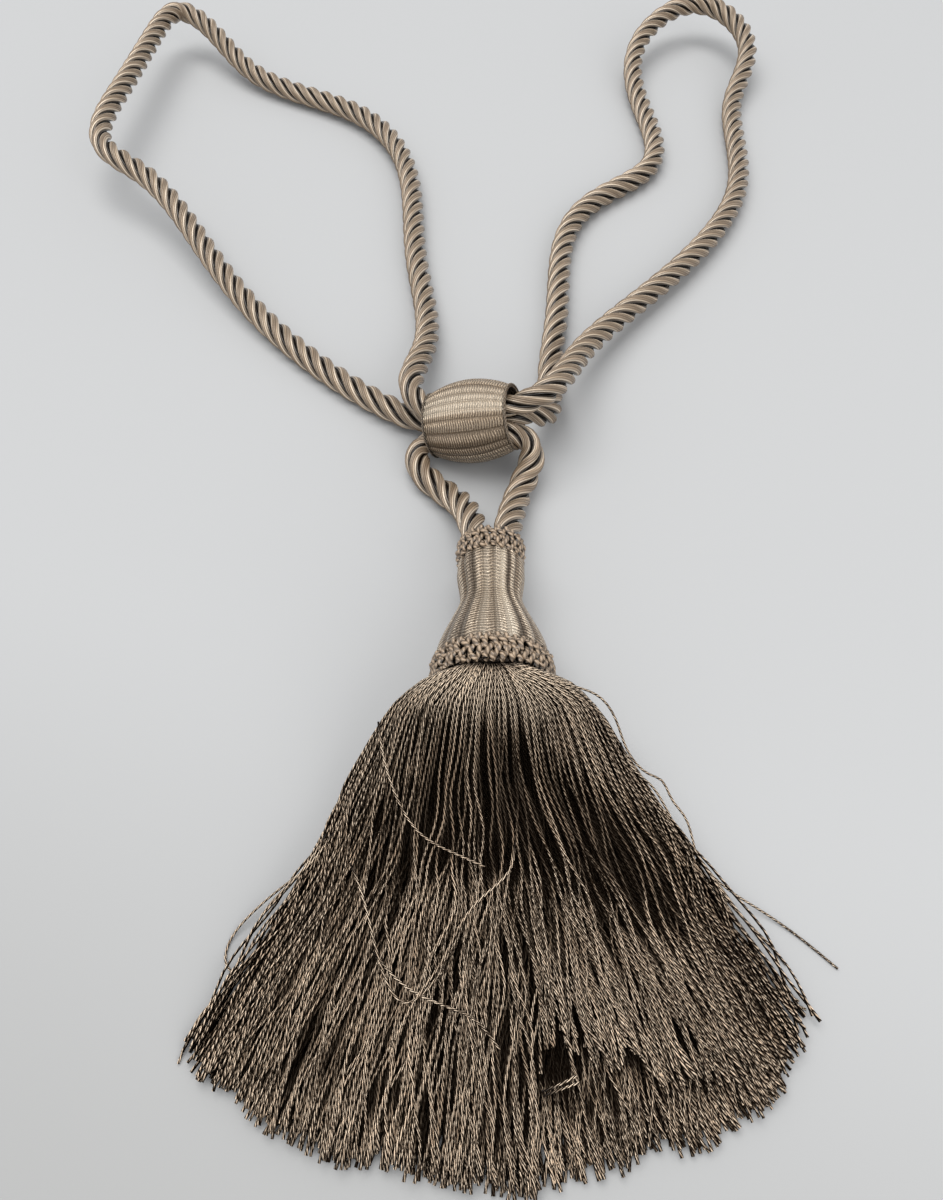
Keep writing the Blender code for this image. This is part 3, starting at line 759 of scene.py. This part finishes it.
def fan_out(yarns, inset, level, side):
    """Where each yarn runs across the skirt: gathered at the band, fanned out at its end."""
    upper = level > UPPER_LEVEL
    spread = ramp(FAN_STEPS, 10, 110)
    gather = (0.5 - 0.25 * (1 - level)) * (1 - ramp(FAN_STEPS, 0.3, 16 - 10 * side ** 4))
    lean = luck.normal(0.0, 0.035, (yarns, 1))
    lean += (luck.random((yarns, 1)) < 0.26) * luck.normal(0.0, 0.12, (yarns, 1))
    sweep = 0.17 * upper * (1 - side ** 2) * ramp(side, -0.25, 0.35)
    tuck = 0.22 * luck.random((yarns, 1)) * (np.abs(side) > 0.9) * side
    across = side * (1 - gather) * (1 - inset) + (lean - tuck) * spread
    across += sweep * ramp(FAN_STEPS, 18, 132)
    drawn_in = 0.085 * (luck.random((yarns, 1)) < 0.85) * ramp(side, 0.45, 1.0)
    return across - drawn_in * ramp(FAN_STEPS, 35, 68) * (1 - 0.8 * ramp(FAN_STEPS, 82, 112))


def level_along(yarns, level, across, fall):
    """How high each yarn runs in the skirt: most sink into the hollow under the shoulder."""
    later = 30 * np.clip(across - 0.15, 0, 1)
    dip = ramp(FAN_STEPS, 12 + later, 27 + later) * (1 - ramp(FAN_STEPS, 44 + later, 62 + later))
    dip *= np.clip(1 - (across - 0.08) ** 2 / 0.7, 0, 1)
    stays_up = luck.random((yarns, 1)) < 0.08 + 0.8 * np.clip((level - 0.93) / 0.07, 0, 1)
    sink = np.where(stays_up, 0.08, 0.62) + 0.12 * luck.random((yarns, 1))
    edge = ramp(FAN_STEPS, 72, 96) * ramp(across, 0.02, 0.12) * (1 - ramp(across, 0.5, 0.8))
    hole = np.exp(-((across - GAP_ACROSS) / 0.05) ** 2 - ((FAN_STEPS - GAP_ALONG) / 5) ** 2)
    height = level * (1 - 0.9 * np.clip(fall, 0, 1)) * (1 - sink * dip)
    return height * np.where(level > UPPER_LEVEL, 1 + 0.25 * edge, 1 - 0.2 * edge - 0.6 * hole)


def cut_lengths(yarns, level, step, across):
    """Each yarn's length, and how much of that the tier cut takes off."""
    last = np.argmin(np.abs(FAN_STEPS - 100))
    fan = across[:, last:last + 1]
    short = step * tier_cut(fan) * (1 + luck.normal(0.0, 0.05, (yarns, 1)))
    length = SKIRT_LENGTH - short - 1.5 * (1 - level)
    length += 1.2 * np.sin(11 * fan + 1.0) + 0.9 * np.sin(27 * fan) - 4 * ramp(fan, 0.75, 1.0)
    return length + np.clip(luck.normal(0.0, 2.5, (yarns, 1)), -7, 4), short


def shell_of_yarns(yarns, inset, level, step):
    """One shell of yarns, from one side's foot over the top to the other side's foot."""
    side, fall = walk_over(yarns, level)
    across = fan_out(yarns, inset, level, side)
    height = level_along(yarns, level, across, fall)
    loose = ramp(FAN_STEPS, 4, 60)
    splay = 0.035 * (luck.random((yarns, 1)) < 0.3) * (np.abs(side) > 0.9)
    splay = (splay * ramp(FAN_STEPS, 40, 100)
             + luck.normal(0.0, 0.012, (yarns, 1)) * ramp(FAN_STEPS, 10, 110))
    across = np.clip(across, -1, 1) * (1 + splay)
    place = skirt_place(across, height, np.broadcast_to(FAN_STEPS, across.shape))
    place[..., 0] += loose * wander(yarns, ((2.3, 62), (0.7, 25)))
    crowd = luck.random((yarns, 1)) * (1 - ramp(FAN_STEPS, 30, 90))
    place[..., 2] += (loose * wander(yarns, ((0.7, 55), (0.35, 19))) - crowd) * (0.3 + level)
    from_root = np.hypot(place[..., 0] - HEAD_X - FAN_SHIFT, FAN_STEPS)
    length, short = cut_lengths(yarns, level, step, across)
    droop = 0.45 * (short < 4)
    outward = np.stack([across ** 3 * 1.2 + np.sign(side) * fall * 3, np.zeros_like(across),
                        np.ones_like(across)], axis=-1)
    return cut_to_length(place, outward, from_root, length[:, 0], droop[:, 0])


def cut_to_length(place, outward, from_root, length, droop):
    """Cut each yarn at its own distance from the root, and space its rings out again."""
    cut, outs = [], []
    for line, out, reach, end, sag in zip(place, outward, from_root, length, droop):
        places = np.concatenate([np.linspace(0.3, 15.0, ROOT_RINGS),
                                 np.linspace(18.0, end, YARN_RINGS - ROOT_RINGS)])
        places = np.maximum(places, reach[0])
        line = np.stack([np.interp(places, reach, line[:, k]) for k in range(3)], axis=1)
        kept = 1 - sag * ramp(places, end - DROOP_LENGTH, end)
        line[:, 2] = YARN_RADIUS + (line[:, 2] - YARN_RADIUS) * kept
        cut.append(line)
        outs.append(np.stack([np.interp(places, reach, out[:, k]) for k in range(3)], axis=1))
    return np.array(cut), np.array(outs)


skirt_yarn, shader, u, v = new_material("two-ply skirt yarn", 0.34)
shader.inputs["Specular IOR Level"].default_value = 0.6
crown = 1.0 - abs(u.fraction() - 0.5) * 2.0
own = u.chance(u.whole() + 0.5)
lay = u.chance(u.whole())
ply = (u.fraction() * 3.0 + v / PLY_PITCH * (lay * 0.5 + 0.75) + lay * 7.0).wave()
fuzz = u.noise(u.vector(u * 5.0, v * 0.9), 1.0)
# painted glints: some stretches along each yarn are lighter than others
bright = u.noise(u.vector(u.whole() * 3.7, v * 0.45), 1.0).between(0.38, 0.62)
# painted shade: larger darker patches where clumps of yarns lie lower
patch = u.noise(u.node("ShaderNodeTexCoord", output=3), 55.0, 1.0).between(0.42, 0.62)
# painted highlight over the shoulder, where the yarns turn up to the light
shoulder = v.between(4.0, 9.0) - v.between(15.0, 26.0)
depth = u.node("ShaderNodeAttribute", {"attribute_name": "depth"}, output=2)
tone = u.colour(own * 0.7 + bright * 0.5 - patch * 0.4,
                (0.09, 0.059, 0.036), (0.98, 0.745, 0.535))
# painted glints: near-white flecks on the fuzz noise, and the painted highlight over the shoulder
tone = u.blend(fuzz.between(0.44, 0.62) * 0.9 + shoulder * 0.8, tone, (1.0, 0.81, 0.61, 1.0))
# painted shade in the creases between the two plies, which leaves bright dashes on the crests as
# painted glints
tone = u.blend(ply.between(0.30, 0.68), (0.022, 0.013, 0.007, 1.0), tone)
# painted shade: each yarn goes near black at its sides and underside, in the gaps between yarns
painted_side_shade = crown.between(0.21, 0.44)
tone = u.blend(painted_side_shade, tone, (0.004, 0.0022, 0.0011, 1.0))
# painted shade: yarns that lie deeper under the skirt's face, towards its sides and in the gap near
# the tier's edge go near black
tone = u.blend(depth.between(0.06, 0.95) * 0.93, tone, (0.012, 0.0062, 0.0030, 1.0))
# painted shade: each yarn is near black where it comes out from under the base band
tone = u.blend(v.between(1.0, 6.0), (0.012, 0.0065, 0.0035, 1.0), tone)
finish_with(shader, tone, ply + fuzz * 0.3, 0.30)
skirt_yarn.node_tree.links.new((depth.between(0.05, 0.6) * 0.6 + 0.34).socket,
                               shader.inputs["Roughness"])
lit = (1.0 - depth.between(0.05, 0.5)) * ply.between(0.25, 0.6) * (1.0 - painted_side_shade)
skirt_yarn.node_tree.links.new((0.95 - lit * 0.5).socket, shader.inputs["Metallic"])
for name, first, last, sides in SKIRT_PIECES:
    parts = [shell_of_yarns(*shell) for shell in SHELLS[first:last]]
    yarns = np.concatenate([part[0] for part in parts])
    outs = np.concatenate([part[1] for part in parts])
    thick = YARN_RADIUS * luck.uniform(0.85, 1.12, (len(yarns), 1))
    ends = 1 + 0.25 * ramp(np.arange(YARN_RINGS), YARN_RINGS - 4, YARN_RINGS - 1)
    yarns[..., 2] = np.maximum(yarns[..., 2], thick * ends)
    piece = strands_mesh(name, yarns, outs, thick * ends, thick * ends, sides)
    depths = piece.data.attributes.new("depth", "FLOAT", "POINT")
    depths.data.foreach_set("value", np.repeat(depth_inside(yarns).ravel(), sides))
    dress(piece, skirt_yarn, "skirt_yarn", "skirt")

# loose yarns, on the fan and off its edge, as listed points
STRAY_ROUTES = (
    ((-33.0, -160.0, 12.0), (-39.6, -170.1, 12.0), (-46.5, -173.3, 6.0), (-56.0, -180.6, 2.5),
     (-61.5, -188.3, 0.6), (-61.3, -193.6, 0.6), (-59.4, -195.4, 0.6)),
    ((-35.0, -161.0, 12.5), (-41.8, -171.8, 11.0), (-50.2, -178.6, 5.5), (-57.1, -192.9, 3.0),
     (-60.2, -200.4, 2.0), (-65.0, -205.3, 1.5), (-70.1, -218.2, 0.6)),
    ((25.0, -120.5, 36.0), (32.9, -124.1, 34.0), (43.3, -125.8, 29.0), (48.2, -131.9, 25.0),
     (51.3, -139.5, 21.0), (57.7, -144.8, 17.0), (61.4, -145.5, 15.0), (64.2, -150.4, 12.0),
     (67.6, -154.2, 10.0), (70.1, -163.2, 7.0), (72.0, -172.0, 5.0)),
    ((70.0, -166.0, 7.0), (77.6, -173.5, 5.0), (87.3, -179.1, 2.0), (97.6, -186.4, 0.6),
     (106.3, -194.6, 0.6)),
    ((69.0, -163.0, 7.0), (74.2, -170.4, 6.0), (82.4, -182.1, 3.0), (88.7, -188.4, 1.0),
     (92.3, -193.6, 0.6)),
    ((49.1, -136.9, 22.0), (52.7, -143.4, 18.0), (58.5, -146.3, 13.0), (62.7, -151.4, 9.0),
     (65.4, -156.2, 6.0), (67.6, -162.8, 4.0), (71.1, -169.0, 2.0), (75.0, -178.6, 0.6),
     (76.9, -184.6, 0.6)),
    ((69.0, -165.8, 6.0), (75.2, -173.8, 3.0), (80.6, -181.4, 0.8), (84.9, -188.8, 0.6),
     (89.1, -195.5, 0.6), (91.4, -199.3, 0.6)),
    ((66.6, -166.1, 7.0), (71.7, -175.5, 3.0), (76.2, -183.5, 0.8), (80.3, -190.4, 0.6),
     (84.5, -196.3, 0.6), (89.2, -201.0, 0.6)),
    ((75.8, -179.6, 4.0), (81.6, -188.0, 1.5), (87.1, -195.0, 0.6), (90.8, -200.5, 0.6),
     (94.0, -203.0, 0.6)),
    ((78.3, -191.2, 4.0), (85.0, -198.8, 2.0), (90.5, -202.5, 0.6), (95.5, -205.0, 0.6)),
    ((-20.5, -134.0, 29.5), (-18.8, -143.1, 25.0), (-12.5, -157.8, 19.8), (-6.6, -164.1, 18.0),
     (2.9, -168.7, 17.0), (9.7, -171.6, 16.4)),
    ((18.0, -165.0, 17.0), (16.6, -172.3, 16.2), (8.3, -180.0, 14.8), (1.7, -188.9, 13.5),
     (-2.2, -196.3, 12.5), (-8.5, -204.8, 11.6), (-13.3, -214.1, 10.6)),
    ((-27.5, -170.0, 14.5), (-23.1, -180.0, 13.8), (-11.1, -205.7, 11.6), (-1.4, -197.6, 12.4)),
    ((-20.0, -193.0, 12.0), (-11.8, -201.1, 11.9), (-4.7, -204.8, 11.5), (1.8, -207.1, 11.2),
     (6.9, -209.5, 11.0), (13.2, -216.4, 10.4)),
    ((23.5, -225.5, 7.6), (28.0, -224.0, 8.6), (32.3, -222.0, 8.4)),
    ((24.0, -226.4, 7.2), (28.3, -225.0, 8.0), (33.0, -223.4, 7.8)),
)
STRAY_EASING = 2
STRAY_RADIUS = 0.9 * YARN_RADIUS
strays = np.array([evenly_spaced(smooth_curve(np.array(way), PATH_STEP, STRAY_EASING), YARN_RINGS)
                   for way in STRAY_ROUTES])
piece = strands_mesh("stray_yarns", strays, np.broadcast_to(HEAD_UP, strays.shape),
                     STRAY_RADIUS, STRAY_RADIUS, 6)
dress(piece, skirt_yarn, "skirt_yarn", "skirt")

# ---- floor and light ----------------------------------------------------------------------
bpy.ops.object.select_all(action="DESELECT")
bpy.ops.mesh.primitive_plane_add(size=6.0, location=(0.0, 0.0, 0.0))
floor = bpy.context.object
floor.name = "floor"
paper = bpy.data.materials.new("pale floor")
paper.use_nodes = True
paper_shader = paper.node_tree.nodes["Principled BSDF"]
paper_place = paper.node_tree.nodes.new("ShaderNodeSeparateXYZ")
paper_points = paper.node_tree.nodes.new("ShaderNodeTexCoord")
paper.node_tree.links.new(paper_points.outputs["Object"], paper_place.inputs[0])
x, y = (Shade(paper.node_tree, paper_place.outputs[k]) for k in (0, 1))
shade = (0.0 - y - x * 0.35).between(0.10, 0.33)
shade = x.colour(shade, (0.438, 0.445, 0.452), (0.345, 0.348, 0.348))
paper.node_tree.links.new(shade.socket, paper_shader.inputs["Base Color"])
paper_shader.inputs["Roughness"].default_value = 0.9
paper_shader.inputs["Specular IOR Level"].default_value = 0.1
floor.data.materials.append(paper)

world = bpy.data.worlds.new("soft room")
world.use_nodes = True
sky = world.node_tree.nodes["Background"]
sky.inputs["Color"].default_value = (0.97, 0.98, 1.0, 1.0)
sky.inputs["Strength"].default_value = 0.70
bpy.context.scene.world = world
for name, place, size, power, colour in (
        ("window", (-0.7, 0.7, 3.5), 3.4, 124.0, (1.0, 0.985, 0.96)),
        ("fill", (0.8, -1.2, 0.9), 1.2, 10.0, (1.0, 0.98, 0.95))):
    lamp = bpy.data.lights.new(name, "AREA")
    lamp.size, lamp.energy, lamp.color = size, power, colour
    holder = bpy.data.objects.new(name, lamp)
    holder.location = place
    right, back, up = place
    holder.rotation_euler = (math.atan2(math.hypot(right, back), up), 0.0,
                             math.atan2(back, right) + math.pi / 2)
    bpy.context.collection.objects.link(holder)
bpy.context.scene.view_settings.view_transform = "Standard"
